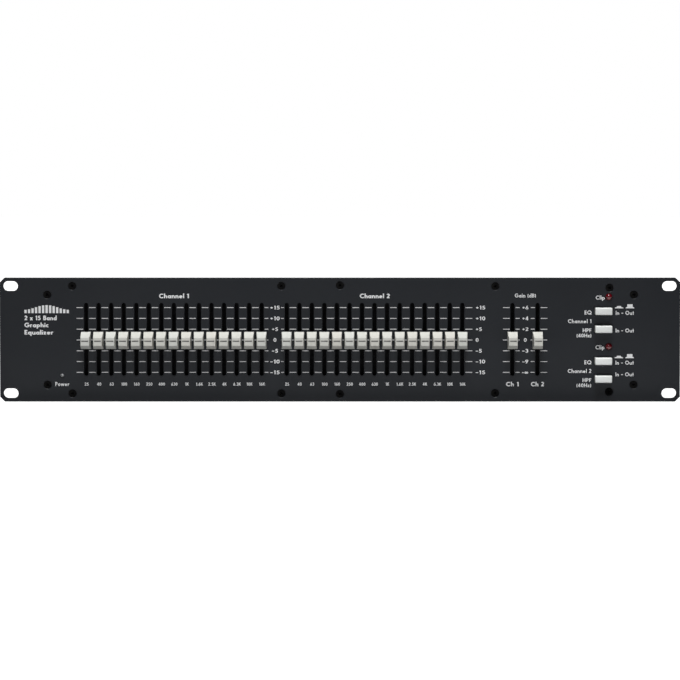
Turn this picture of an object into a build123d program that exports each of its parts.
from build123d import *
import math
import os

# Rack equalizer, 19 inch wide and two units high, in millimetres.
# X runs to the right seen from the front, Y to the back, Z up.
# The origin is the middle of the front panel's rear face, where the rack rails touch it.

# Front panel
PANEL_W = 482.6
PANEL_H = 88.1
PANEL_T = 3.2
PANEL_CORNER = 3.5
FACE_Y = -PANEL_T
RACK_X = 233.5
RACK_Z = 38.1
RACK_SLOT_L = 10.6
RACK_SLOT_W = 7.0

# Sliders
PITCH = 8.89
FIRST_X = -180.0
ROW_Z = 0.25
SLOT_L = 51.9
SLOT_W = 3.0
ZERO_Z = -0.35
BANDS = 15
CHANNEL_STEP = 16
GAIN_STEPS = (34, 36)
CAP_W = 7.25
CAP_CREST_W = 6.1
CAP_L = 12.1
CAP_CREST_L = 5.9
CAP_CREST_DROP = 0.45
CAP_WALL = 1.2
CAP_GAP = 1.0
CAP_END_H = 2.2
CAP_H = 9.3
GROOVE_W = 0.85
GROOVE_L = 4.9
GROOVE_D = 0.45
LEVER_T = 1.2
LEVER_W = 4.0
LEVER_GRIP = 6.5

# Push buttons
BUTTON_X = 186.6
BUTTON_Z = (20.3, 7.6, -15.1, -27.8)
BUTTON_W = 11.9
BUTTON_H = 5.0
BUTTON_OUT = 5.4
BUTTON_GAP = 0.5

# Lamps
CLIP_LEDS = ((190.6, 30.4), (190.6, -4.9))
CLIP_R = 2.45
POWER_LED = (-197.0, -25.5)
POWER_R = 1.45

# Panel screws, cross-recessed and countersunk
SCREW_XZ = (
    (-207.5, 32.0),
    (-189.8, 38.2),
    (-41.6, 38.2),
    (0.0, 38.6),
    (110.1, 38.0),
    (191.0, 36.9),
    (208.3, 32.0),
)
SCREW_HEAD_R = 3.0
SCREW_R = 1.45

# Case
SHEET = 1.2
CASE_X = 214.6
FLOOR_Z = -43.0
WALL_TOP = 41.6
SIDE_TOP = 35.6
SIDE_SCREW_Z = 28.0
SIDE_SCREW_Y = (22.0, 76.0, 130.0)
REAR_SCREW_X = (-190.0, -64.0, 64.0, 190.0)
REAR_SCREW_Z = 31.5
LIP_SCREW_Z = -38.0
DEPTH = 147.3
REAR_T = 1.5
COVER_TOP = 37.0
COVER_X = 216.0
NOTCH_W = 7.0
NOTCH_Y = 5.8

# Boards and what they carry
POT_Y = 3.0
POT_D = 6.6
POT_W = 8.0
POT_L = 60.0
POT_SKIN = 0.6
SLIDER_BOARD_Y = POT_Y + POT_D
BOARD_T = 1.6
MAIN_BOARD_Z = -34.6
MAIN_BOARD_X = (-128.0, 205.0)
MAIN_BOARD_Y = (24.0, 118.0)
BOARD_HOLES_MAIN = [(x, y) for y in (32.0, 110.0) for x in (-120.0, 30.0, 197.0)]
BOARD_HOLES_FRONT = [(x, z) for x in (-46.65, 104.5, 160.0) for z in (27.0, -27.0)]

# Transformer
TORUS_XY = (-172.0, 72.0)
TORUS_R = 33.0
TORUS_BORE = 11.0
TORUS_H = 34.0

# Rear panel fittings
REAR_Y = DEPTH + REAR_T
XLR_IN_X = (182.0, 42.0)
XLR_OUT_X = (96.0, -44.0)
JACK_X = (152.0, 126.0, 12.0, -14.0)
SOCKET_Z = 2.0
XLR_SCREWS = ((-9.5, 12.0), (9.5, -12.0))
SWITCH_X = -112.0
INLET_X = -168.0
MAINS_Z = 2.0
ROCKER_PIVOT_Y = REAR_Y + 0.6
ROCKER_TILT = 9.0
ROCKER_PIN_R = 0.8
ROCKER_PIN_L = 11.4


def block(x, y, z):
    """Block between two limits on each axis."""
    centre = Pos((x[0] + x[1]) / 2, (y[0] + y[1]) / 2, (z[0] + z[1]) / 2)
    return centre * Box(x[1] - x[0], y[1] - y[0], z[1] - z[0])


def rod_y(x, z, radius, y):
    """Round bar along Y."""
    return Pos(x, (y[0] + y[1]) / 2, z) * Rot(90, 0, 0) * Cylinder(radius, y[1] - y[0])


def rod_z(x, y, radius, z):
    """Round bar along Z."""
    return Pos(x, y, (z[0] + z[1]) / 2) * Cylinder(radius, z[1] - z[0])


def sheet_y(sketch, y):
    """Flat piece parallel to the front panel, from its X-Z outline."""
    return extrude(Plane.XZ.offset(-y[0]) * sketch, amount=y[1] - y[0], dir=(0, 1, 0))


def profile_x(sketch, x):
    """Bar along X from its Y-Z outline."""
    return extrude(Plane.YZ.offset(x[0]) * sketch, amount=x[1] - x[0], dir=(1, 0, 0))


def turned(points):
    """Solid of revolution about Z from (radius, height) points."""
    return revolve(make_face(Plane.XZ * Polyline(*points, close=True)), Axis.Z)


def band_x(channel, band):
    """X of one slider slot, channels and bands counted from 0."""
    return FIRST_X + PITCH * (channel * CHANNEL_STEP + band)


def slider_xs():
    """X of every slot, the thirty bands first and the two gains last."""
    bands = [band_x(c, b) for c in range(2) for b in range(BANDS)]
    return bands + [FIRST_X + PITCH * k for k in GAIN_STEPS]


def screw_points():
    """The fourteen panel screws, upper and lower rows."""
    return [(x, side * z) for x, z in SCREW_XZ for side in (1, -1)]


def front_panel():
    """Aluminium rack panel with its slots, windows and countersinks."""
    outline = chamfer(Rectangle(PANEL_W, PANEL_H).vertices(), PANEL_CORNER)
    rack_slot = SlotOverall(RACK_SLOT_L, RACK_SLOT_W)
    rack = [Pos(sx * RACK_X, sz * RACK_Z) * rack_slot for sx in (1, -1) for sz in (1, -1)]
    slots = [Pos(x, ROW_Z) * SlotOverall(SLOT_L, SLOT_W, rotation=90) for x in slider_xs()]
    windows = [
        Pos(BUTTON_X, z) * RectangleRounded(BUTTON_W + 2 * BUTTON_GAP, BUTTON_H + 2 * BUTTON_GAP, 0.7)
        for z in BUTTON_Z
    ]
    lamps = [Pos(x, z) * Circle(CLIP_R + 0.12) for x, z in CLIP_LEDS]
    lamps.append(Pos(*POWER_LED) * Circle(POWER_R + 0.12))
    screws = [Pos(x, z) * Circle(SCREW_R + 0.25) for x, z in screw_points()]
    panel = sheet_y(outline - (rack + slots + windows + lamps + screws), (FACE_Y, 0))
    panel = chamfer(panel.faces().sort_by(Axis.Y)[0].outer_wire().edges(), 0.35)
    sink = SCREW_HEAD_R + 0.2
    depth = sink - SCREW_R - 0.25
    cones = [
        Pos(x, FACE_Y + depth / 2, z) * Rot(90, 0, 0) * Cone(SCREW_R + 0.25, sink, depth)
        for x, z in screw_points()
    ]
    return panel - cones


def slide_cap():
    """Slider cap on its lever at X 0, crest towards the front and a little below the middle."""
    low = FACE_Y - CAP_GAP
    shoulder = low - CAP_END_H
    crest = low - CAP_H
    foot = CAP_L / 2
    top = CAP_CREST_L / 2 - CAP_CREST_DROP
    bottom = -CAP_CREST_L / 2 - CAP_CREST_DROP
    slope_y = shoulder - (shoulder - crest) * 0.42
    upper_z = top + (foot - top) * 0.42
    lower_z = bottom - (foot + bottom) * 0.42
    side = (
        Line((low, -foot), (shoulder, -foot))
        + ThreePointArc((shoulder, -foot), (slope_y, lower_z), (crest, bottom))
        + Line((crest, bottom), (crest, top))
        + ThreePointArc((crest, top), (slope_y, upper_z), (shoulder, foot))
        + Line((shoulder, foot), (low, foot))
        + Line((low, foot), (low, -foot))
    )
    body = profile_x(make_face(side), (-CAP_W, CAP_W))
    wide = CAP_W / 2
    narrow = CAP_CREST_W / 2
    draft_face = Polygon((-wide, low), (wide, low), (narrow, crest), (-narrow, crest), align=None)
    body = body & extrude(Plane.XY.offset(-CAP_L) * draft_face, amount=2 * CAP_L, dir=(0, 0, 1))
    groove = block((-GROOVE_L / 2, GROOVE_L / 2), (crest, crest + GROOVE_D), (-GROOVE_W / 2, GROOVE_W / 2))
    hollow = block((-wide + CAP_WALL, wide - CAP_WALL), (low - 1.5, low), (-foot + CAP_WALL, foot - CAP_WALL))
    socket = block((-LEVER_T / 2, LEVER_T / 2), (low - LEVER_GRIP, low), (-LEVER_W / 2, LEVER_W / 2))
    return body - groove - hollow - socket


def slider(x):
    """Cap, steel lever and wiper carriage that travel together."""
    lever_y = (FACE_Y - CAP_GAP - LEVER_GRIP, POT_Y + 1.0)
    lever = block((-LEVER_T / 2, LEVER_T / 2), lever_y, (-LEVER_W / 2, LEVER_W / 2))
    carriage = block((-2.8, 2.8), (POT_Y + 1.0, POT_Y + 3.6), (-4.2, 4.2))
    wiper = block((-2.0, 2.0), (POT_Y + 3.6, POT_Y + 4.7), (-2.6, 2.6))
    return Pos(x, 0, ZERO_Z) * group([slide_cap(), lever, carriage + wiper])


def slide_pot(x):
    """One slide potentiometer: folded can over a phenolic base, open along the lever's path."""
    half_w = POT_W / 2
    half_l = POT_L / 2
    can = block((-half_w, half_w), (POT_Y, POT_Y + POT_D), (-half_l, half_l))
    inside_y = (POT_Y + POT_SKIN, POT_Y + POT_D - 2 * POT_SKIN)
    inside = block((-half_w + POT_SKIN, half_w - POT_SKIN), inside_y, (-half_l + POT_SKIN, half_l - POT_SKIN))
    path = sheet_y(SlotOverall(SLOT_L, 2.0, rotation=90), (POT_Y - 1, POT_Y + 1))
    return Pos(x, 0, ROW_Z) * (can - inside - path)


def button(z):
    """Push-button cap on its square plunger, shown out."""
    face = FACE_Y - BUTTON_OUT
    shell = block((-BUTTON_W / 2, BUTTON_W / 2), (face, 1.0), (-BUTTON_H / 2, BUTTON_H / 2))
    shell = chamfer(shell.faces().sort_by(Axis.Y)[0].edges(), 0.4)
    shell = fillet(shell.edges().filter_by(Axis.Y), 0.5)
    plunger = block((-1.5, 1.5), (1.0, 5.6), (-1.5, 1.5))
    return Pos(BUTTON_X, 0, z) * (shell + plunger)


def push_switch(z):
    """Latching switch body with the bore its plunger runs in."""
    body = block((-5.0, 5.0), (4.4, SLIDER_BOARD_Y), (-4.6, 4.6))
    bore = block((-1.9, 1.9), (4.0, 9.1), (-1.9, 1.9))
    return Pos(BUTTON_X, 0, z) * (body - bore)


def lamp(x, z, radius):
    """Round LED: domed lens, collar and two leads to the board."""
    lens = rod_y(0, 0, radius, (-2.6, 2.0)) + Pos(0, -2.6, 0) * Sphere(radius)
    collar = rod_y(0, 0, radius + 0.45, (1.5, 2.6))
    leads = [block((sx - 0.25, sx + 0.25), (2.6, SLIDER_BOARD_Y), (-0.25, 0.25)) for sx in (-1.0, 1.0)]
    return Pos(x, 0, z) * (lens + collar + leads)


def panel_screw(x, z):
    """Countersunk machine screw with a cross recess."""
    face = FACE_Y + 0.05
    cone = SCREW_HEAD_R - SCREW_R
    shape = turned([(0, face), (SCREW_HEAD_R, face), (SCREW_R, face + cone), (SCREW_R, 5.0), (0, 5.0)])
    cross = Box(0.9, 3.2, 2.0) + Box(3.2, 0.9, 2.0)
    screw = shape - Pos(0, 0, face) * cross
    return Pos(x, 0, z) * Rot(-90, 0, 0) * screw


def pan_screw(place):
    """Pan-head screw; the head sits above the local origin and the shank runs down."""
    head = turned([(0, 0), (2.8, 0), (2.8, 0.9), (2.2, 1.8), (0, 2.1)])
    shank = Pos(0, 0, -2.6) * Cylinder(1.45, 5.2)
    cross = Pos(0, 0, 2.0) * (Box(0.9, 3.0, 1.6) + Box(3.0, 0.9, 1.6))
    return place * (head + shank - cross)


def case_screw_places():
    """Every pan-head screw, as a placement with its head towards local +Z."""
    sides = [Pos(s * COVER_X, y, SIDE_SCREW_Z) * Rot(0, s * 90, 0) for s in (1, -1) for y in SIDE_SCREW_Y]
    rear = [Pos(x, REAR_Y + 0.1 + SHEET, REAR_SCREW_Z) * Rot(-90, 0, 0) for x in REAR_SCREW_X]
    lip = [Pos(x, REAR_Y, LIP_SCREW_Z) * Rot(-90, 0, 0) for x in REAR_SCREW_X]
    xlrs = [
        Pos(x + dx, REAR_Y + 1.6, SOCKET_Z + dz) * Rot(-90, 0, 0)
        for x in XLR_IN_X + XLR_OUT_X
        for dx, dz in XLR_SCREWS
    ]
    mains = [Pos(INLET_X + dx, REAR_Y + 2.4, MAINS_Z) * Rot(-90, 0, 0) for dx in (-20.0, 20.0)]
    main = [Pos(x, y, MAIN_BOARD_Z + BOARD_T) for x, y in BOARD_HOLES_MAIN]
    front = [Pos(x, SLIDER_BOARD_Y + BOARD_T, z) * Rot(-90, 0, 0) for x, z in BOARD_HOLES_FRONT]
    return sides + rear + lip + xlrs + mains + main + front


def chassis_tray():
    """Folded steel tray: floor, two sides, front wall and the lips that take the screws."""
    floor = block((-CASE_X, CASE_X), (0, DEPTH), (FLOOR_Z, FLOOR_Z + SHEET))
    wall = Pos(0, (FLOOR_Z + WALL_TOP) / 2) * Rectangle(2 * CASE_X, WALL_TOP - FLOOR_Z)
    wall -= [
        Pos((a + b) / 2, ROW_Z) * Rectangle(b - a, 56)
        for a, b in ((-186.0, -49.5), (-43.8, 92.8), (116.0, 146.4))
    ]
    wall -= [Pos(BUTTON_X, z) * Rectangle(BUTTON_W + 1.6, BUTTON_H + 1.6) for z in BUTTON_Z]
    wall -= [Pos(x, z) * Circle(3.2) for x, z in CLIP_LEDS + (POWER_LED,)]
    front = sheet_y(wall, (0, SHEET))
    bosses = [rod_y(x, z, 2.9, (SHEET, 3.4)) for x, z in screw_points()]
    sides = [
        block(sorted((s * CASE_X, s * (CASE_X - SHEET))), (0, DEPTH), (FLOOR_Z, SIDE_TOP)) for s in (1, -1)
    ]
    rear_lip = block((-CASE_X, CASE_X), (DEPTH - SHEET, DEPTH), (FLOOR_Z, -32))
    side_lips = [
        block(sorted((s * CASE_X, s * 204.0)), (DEPTH - SHEET, DEPTH), (FLOOR_Z, SIDE_TOP)) for s in (1, -1)
    ]
    tray = floor + front + bosses + sides + rear_lip + side_lips
    tray -= [rod_y(x, z, 1.5, (-1, 6)) for x, z in screw_points()]
    tray -= [rod_y(x, LIP_SCREW_Z, 1.5, (DEPTH - 3, DEPTH + 1)) for x in REAR_SCREW_X]
    return tray - side_holes(CASE_X, 1.5)


def side_holes(x, radius):
    """Bars that drill the cover screws' holes through a side wall at X and minus X."""
    bar = Rot(0, 90, 0) * Cylinder(radius, 8)
    return [Pos(s * x, y, SIDE_SCREW_Z) * bar for s in (1, -1) for y in SIDE_SCREW_Y]


def top_cover():
    """Folded lid with side and rear flanges."""
    back = REAR_Y + 0.1 + SHEET
    front = SHEET + 0.1
    top = block((-COVER_X, COVER_X), (front, back), (COVER_TOP - SHEET, COVER_TOP))
    sides = [
        block(sorted((s * COVER_X, s * (COVER_X - SHEET))), (front, back), (18, COVER_TOP)) for s in (1, -1)
    ]
    rear = block((-COVER_X, COVER_X), (back - SHEET, back), (26, COVER_TOP))
    cover = top + sides + rear - side_holes(COVER_X, 1.7)
    for x, z in SCREW_XZ:
        if z > SIDE_TOP:
            cover -= block((x - NOTCH_W / 2, x + NOTCH_W / 2), (0, NOTCH_Y), (COVER_TOP - 2, COVER_TOP + 1))
    cover -= [rod_y(x, REAR_SCREW_Z, 1.7, (REAR_Y - 1, REAR_Y + 4)) for x in REAR_SCREW_X]
    corners = cover.edges().filter_by(Axis.Y).sort_by(Axis.Z)[-2:]
    return fillet(corners, 1.0)


def rear_panel():
    """Rear plate with the cut-outs for the sockets, inlet and switch."""
    plate = Pos(0, (FLOOR_Z + SIDE_TOP) / 2) * Rectangle(2 * CASE_X, SIDE_TOP - FLOOR_Z)
    plate -= [Pos(x, SOCKET_Z) * Circle(12.0) for x in XLR_IN_X + XLR_OUT_X]
    plate -= [Pos(x + dx, SOCKET_Z + dz) * Circle(1.5) for x in XLR_IN_X + XLR_OUT_X for dx, dz in XLR_SCREWS]
    plate -= [Pos(x, SOCKET_Z) * Circle(4.9) for x in JACK_X]
    plate -= Pos(INLET_X, MAINS_Z) * RectangleRounded(29.0, 21.6, 2.0)
    plate -= [Pos(INLET_X + dx, MAINS_Z) * Circle(1.5) for dx in (-20.0, 20.0)]
    plate -= Pos(SWITCH_X, MAINS_Z) * Rectangle(13.2, 19.4)
    plate -= [Pos(x, z) * Circle(1.6) for x in REAR_SCREW_X for z in (REAR_SCREW_Z, LIP_SCREW_Z)]
    return sheet_y(plate, (DEPTH, REAR_Y))


def slider_board():
    """Upright circuit board that carries the sliders, switches and lamps."""
    board = Pos(4.0, ROW_Z) * Rectangle(414.0, 66.0)
    board -= [Pos(x, z) * Circle(1.7) for x, z in BOARD_HOLES_FRONT]
    return sheet_y(board, (SLIDER_BOARD_Y, SLIDER_BOARD_Y + BOARD_T))


def main_board():
    """Flat circuit board over the tray floor."""
    board = block(MAIN_BOARD_X, MAIN_BOARD_Y, (MAIN_BOARD_Z, MAIN_BOARD_Z + BOARD_T))
    return board - [rod_z(x, y, 1.7, (-40, -30)) for x, y in BOARD_HOLES_MAIN]


def spacer(place, length):
    """Hexagonal threaded spacer standing on the local origin."""
    hexagon = extrude(RegularPolygon(3.0, 6), amount=length)
    return place * (hexagon - Pos(0, 0, length / 2) * Cylinder(1.5, length))


def board_spacers():
    """Twelve spacers, six under each board."""
    floor = FLOOR_Z + SHEET
    main = [spacer(Pos(x, y, floor), MAIN_BOARD_Z - floor) for x, y in BOARD_HOLES_MAIN]
    gap = SLIDER_BOARD_Y - SHEET
    front = [spacer(Pos(x, SLIDER_BOARD_Y, z) * Rot(90, 0, 0), gap) for x, z in BOARD_HOLES_FRONT]
    return main + front


def capacitor(x, y, radius, height):
    """Upright electrolytic capacitor with a crimp ring near its foot."""
    z = MAIN_BOARD_Z + BOARD_T
    foot = [(0, 0), (radius, 0), (radius, 1.6), (radius - 0.4, 2.1), (radius, 2.6)]
    can = turned(foot + [(radius, height - 0.5), (radius - 0.5, height), (0, height)])
    return Pos(x, y, z) * can


def chip(x, y):
    """Eight-pin amplifier chip with its legs."""
    z = MAIN_BOARD_Z + BOARD_T
    body = block((-4.8, 4.8), (-3.2, 3.2), (0.9, 4.2))
    legs = [
        block((px - 0.4, px + 0.4), sorted((s * 3.2, s * 4.0)), (0, 2.6))
        for px in (-3.81, -1.27, 1.27, 3.81)
        for s in (1, -1)
    ]
    return Pos(x, y, z) * (body + legs)


def heat_sink():
    """Two tab regulators clamped to a finned plate."""
    z = MAIN_BOARD_Z + BOARD_T
    plate = block((-24, 24), (0, 2.5), (0, 34))
    fins = [block((fx - 0.8, fx + 0.8), (2.5, 12), (0, 34)) for fx in range(-21, 22, 7)]
    packs = [
        block((cx - 5, cx + 5), (-4.6, 0), (10, 19)) + block((cx - 5, cx + 5), (-1.3, 0), (19, 25.5))
        for cx in (-12, 12)
    ]
    legs = [
        block((cx + dx - 0.4, cx + dx + 0.4), (-2.6, -2.0), (0, 10))
        for cx in (-12, 12)
        for dx in (-2.54, 0, 2.54)
    ]
    return Pos(-84, 92, z) * (plate + fins + packs + legs)


def transformer():
    """Toroidal mains transformer with its dished clamp and centre bolt."""
    x, y = TORUS_XY
    z = FLOOR_Z + SHEET
    ring = turned([(TORUS_BORE, 2), (TORUS_R, 2), (TORUS_R, TORUS_H - 2), (TORUS_BORE, TORUS_H - 2)])
    ring = fillet(ring.edges(), 6.0)
    pad = turned([(3, 0), (TORUS_R - 5, 0), (TORUS_R - 5, 2), (3, 2)])
    dish = turned([(3, 26), (8, 26), (10.8, TORUS_H - 2), (24, TORUS_H - 2), (24, TORUS_H - 0.6),
                   (10, TORUS_H - 0.6), (7.2, 27.5), (3, 27.5)])
    bolt = turned([(0, 0), (2.9, 0), (2.9, 27.5), (5, 27.5), (5, 31), (0, 31)])
    return [Pos(x, y, z) * piece for piece in (ring, pad, dish, bolt)]


def xlr_shell(x, bore):
    """Square-flanged round socket shell, with its bore open to the rear."""
    face = REAR_Y + 1.6
    flange = Pos(x, SOCKET_Z) * RectangleRounded(26.0, 31.0, 2.5)
    flange -= [Pos(x + dx, SOCKET_Z + dz) * Circle(1.65) for dx, dz in XLR_SCREWS]
    shell = sheet_y(flange, (REAR_Y, face)) + rod_y(x, SOCKET_Z, 11.8, (REAR_Y - 22, face))
    return shell - rod_y(x, SOCKET_Z, bore, (REAR_Y - 15, face + 1))


def ring_points(radius):
    """Centres of the three contacts of a three-pole connector."""
    return [(radius * math.cos(math.radians(a)), radius * math.sin(math.radians(a))) for a in (30, 150, 270)]


def input_socket(x):
    """Three-pole female socket without a latch: plain contact core standing in a round well."""
    shell = xlr_shell(x, 9.6)
    core = rod_y(x, SOCKET_Z, 7.7, (REAR_Y - 15, REAR_Y + 0.6))
    return group([shell, core])


def output_socket(x):
    """Three-pole male socket: open well with three pins."""
    pins = [
        rod_y(x + px, SOCKET_Z + pz, 1.2, (REAR_Y - 15, REAR_Y - 2.5)) for px, pz in ring_points(4.6)
    ]
    return xlr_shell(x, 8.6) + pins


def phone_jack(x):
    """Quarter-inch socket: body, threaded bush and hexagon nut with a through bore."""
    body = block((x - 8, x + 8), (DEPTH - 24, DEPTH), (SOCKET_Z - 9, SOCKET_Z + 9))
    bush = rod_y(x, SOCKET_Z, 4.7, (DEPTH, REAR_Y + 4.6))
    nut = sheet_y(Pos(x, SOCKET_Z) * RegularPolygon(7.0, 6), (REAR_Y, REAR_Y + 2.2))
    return body + bush + nut - rod_y(x, SOCKET_Z, 3.25, (DEPTH - 20, REAR_Y + 6))


def power_inlet():
    """Appliance inlet with three blades in an open well."""
    face = REAR_Y + 2.4
    flange = Pos(INLET_X, MAINS_Z) * RectangleRounded(50.0, 24.0, 3.0)
    flange -= [Pos(INLET_X + dx, MAINS_Z) * Circle(1.65) for dx in (-20.0, 20.0)]
    body = sheet_y(Pos(INLET_X, MAINS_Z) * RectangleRounded(28.0, 20.6, 2.0), (REAR_Y - 24, REAR_Y))
    well = chamfer(Rectangle(24.0, 16.4).vertices().group_by(Axis.Y)[-1], 4.2)
    shape = sheet_y(flange, (REAR_Y, face)) + body
    shape -= sheet_y(Pos(INLET_X, MAINS_Z) * well, (REAR_Y - 16, face + 1))
    blade = block((-1, 1), (REAR_Y - 16, REAR_Y - 1), (-2, 2))
    blades = [Pos(INLET_X + dx, 0, MAINS_Z + dz) * blade for dx, dz in ((-7.0, -1.8), (0.0, 2.2), (7.0, -1.8))]
    tab = block((-0.4, 0.4), (REAR_Y - 30, REAR_Y - 24), (-7, -3))
    tabs = [Pos(INLET_X + dx, 0, MAINS_Z) * tab for dx in (-7.0, 7.0)]
    return shape + blades + tabs


def power_switch_frame():
    """Snap-in frame of the mains switch, hollow where the rocker tips."""
    face = REAR_Y + 1.8
    flange = sheet_y(Pos(SWITCH_X, MAINS_Z) * RectangleRounded(15.0, 21.0, 1.0), (REAR_Y, face))
    body = sheet_y(Pos(SWITCH_X, MAINS_Z) * Rectangle(12.8, 19.0), (REAR_Y - 12, REAR_Y))
    well = sheet_y(Pos(SWITCH_X, MAINS_Z) * Rectangle(10.6, 16.8), (REAR_Y - 8, face + 1))
    tab = block((-2.4, 2.4), (REAR_Y - 20, REAR_Y - 12), (-0.4, 0.4))
    tabs = [Pos(SWITCH_X, 0, MAINS_Z + dz) * tab for dz in (-5.0, 5.0)]
    pivot = Pos(SWITCH_X, ROCKER_PIVOT_Y, MAINS_Z) * Rot(0, 90, 0)
    return flange + body - well - pivot * Cylinder(ROCKER_PIN_R + 0.15, ROCKER_PIN_L + 0.4) + tabs


def power_rocker():
    """Rocker of the mains switch, tipped to off, upper half proud."""
    face = 3.4
    keel = ((0, 7.6), (-4.6, 3.0), (-4.6, -3.0), (0, -7.6))
    side = Polygon((face, -7.4), (face - 1.1, 0), (face, 7.4), *keel, align=None)
    rocker = profile_x(side, (-5.0, 5.0)) + Rot(0, 90, 0) * Cylinder(ROCKER_PIN_R, ROCKER_PIN_L)
    return Pos(SWITCH_X, ROCKER_PIVOT_Y, MAINS_Z) * Rot(-ROCKER_TILT, 0, 0) * rocker


def wire(points, radius, bends):
    """Insulated wire along straight runs joined by arcs."""
    path = FilletPolyline(*points, radius=bends)
    start = Plane(origin=path @ 0, z_dir=path % 0)
    return sweep(start * Circle(radius), path=path)


def ribbon(x, width):
    """Flat cable with a plug at each end, from the slider board down to the main board."""
    back = SLIDER_BOARD_Y + BOARD_T
    top = MAIN_BOARD_Z + BOARD_T
    half = width / 2
    upper = block((x - half, x + half), (back, back + 5.6), (-23, -17))
    lower = block((x - half, x + half), (29, 35), (top, top + 6))
    run = Polygon((back + 5.6, -19.4), (31.4, -19.4), (32.6, -20.6), (32.6, top + 6), (31.6, top + 6),
                  (31.6, -20.0), (31.0, -20.4), (back + 5.6, -20.4), align=None)
    return upper + lower + profile_x(run, (x - half + 2, x + half - 2))


def socket_lead(x, back):
    """Short flat lead from one rear socket to its header on the main board."""
    top = MAIN_BOARD_Z + BOARD_T
    header = block((x - 5, x + 5), (108, 113), (top, top + 5))
    upper = ((back, SOCKET_Z + 0.4), (back - 4, SOCKET_Z + 0.4), (110, -8), (110, top + 5))
    lower = ((111, top + 5), (111, -8), (back - 3.6, SOCKET_Z - 0.6), (back, SOCKET_Z - 0.6))
    run = Polygon(*upper, *lower, align=None)
    return header + profile_x(run, (x - 4, x + 4))


def wiring():
    """Flat cables, mains wires and signal leads inside the case."""
    top = MAIN_BOARD_Z + BOARD_T
    tab_y = REAR_Y - 20.0
    pieces = [ribbon(x, 34.0) for x in (-96.0, 8.0, 70.0)] + [ribbon(178.0, 18.0)]
    pieces += [socket_lead(x, REAR_Y - 22) for x in XLR_IN_X + XLR_OUT_X]
    pieces += [socket_lead(x, DEPTH - 24) for x in JACK_X]
    for side in (1, -1):
        start = INLET_X + side * 7.0
        x = SWITCH_X - side * 1.4
        run_y = 112.8 + side * 2.2
        level = MAINS_Z - 5.0
        supply = [(start, REAR_Y - 30, level), (start, run_y, level), (x, run_y, level), (x, tab_y, level)]
        pieces.append(wire(supply, 1.1, (3.4, 6.0)))
        level = MAINS_Z + 5.0
        end_y = 78.0 - side * 2.0
        feed = [(x, tab_y, level), (x, 104.0, level), (-130.0, end_y, -20.0), (-138.2, end_y, -20.0)]
        pieces.append(wire(feed, 1.1, (8.0, 3.0)))
    for k in range(3):
        start = (-138.6, 62.0 + 3.2 * k, -26.0)
        land = (-116.0, 62.0 + 3.2 * k, top + 6.0)
        lead = [start, (-132.0, start[1], -26.0), (-116.0, start[1], -12.0), land]
        pieces.append(wire(lead, 1.0, (4.0, 5.0)))
    pieces.append(block((-119, -113), (58, 73), (top, top + 6)))
    return pieces


def group(pieces):
    """One node from several separate solids."""
    return Compound([solid for piece in pieces for solid in piece.solids()])


def nodes():
    """Every node of the assembly by name."""
    caps = [capacitor(x, 52, 11.0, 34.0) for x in (-92, -64)]
    caps += [capacitor(x, 76, 5.0, 16.0) for x in (-46, -32)]
    caps += [capacitor(x, y, 2.5, 7.0) for x in range(-8, 200, 26) for y in (54, 98)]
    made = {
        "front_panel": [front_panel()],
        "chassis_tray": [chassis_tray()],
        "top_cover": [top_cover()],
        "rear_panel": [rear_panel()],
        "slider_board": [slider_board()],
        "slide_pots": [slide_pot(x) for x in slider_xs()],
        "push_switches": [push_switch(z) for z in BUTTON_Z],
        "power_led": [lamp(*POWER_LED, POWER_R)],
        "clip_leds": [lamp(x, z, CLIP_R) for x, z in CLIP_LEDS],
        "main_board": [main_board()],
        "filter_capacitors": caps,
        "amplifier_chips": [chip(x, y) for x in range(5, 200, 26) for y in (66, 86)],
        "heat_sink": [heat_sink()],
        "power_transformer": transformer(),
        "power_inlet": [power_inlet()],
        "power_switch_frame": [power_switch_frame()],
        "input_sockets": [input_socket(x) for x in XLR_IN_X],
        "output_sockets": [output_socket(x) for x in XLR_OUT_X],
        "phone_jacks": [phone_jack(x) for x in JACK_X],
        "wiring": wiring(),
        "board_spacers": board_spacers(),
        "panel_screws": [panel_screw(x, z) for x, z in screw_points()],
        "case_screws": [pan_screw(place) for place in case_screw_places()],
        "power_rocker": [power_rocker()],
    }
    names = [f"slider_ch{c + 1}_{b + 1:02d}" for c in range(2) for b in range(BANDS)]
    names += ["slider_gain_1", "slider_gain_2"]
    made.update({name: [slider(x)] for name, x in zip(names, slider_xs())})
    buttons = ("button_eq_1", "button_hpf_1", "button_eq_2", "button_hpf_2")
    made.update({name: [button(z)] for name, z in zip(buttons, BUTTON_Z)})
    return {name: group(pieces) for name, pieces in made.items()}


os.makedirs("parts", exist_ok=True)
for name, shape in nodes().items():
    export_step(shape, f"parts/{name}.step")
    box = shape.bounding_box()
    print(name, len(shape.solids()), [round(v, 2) for v in (*box.min, *box.max)])
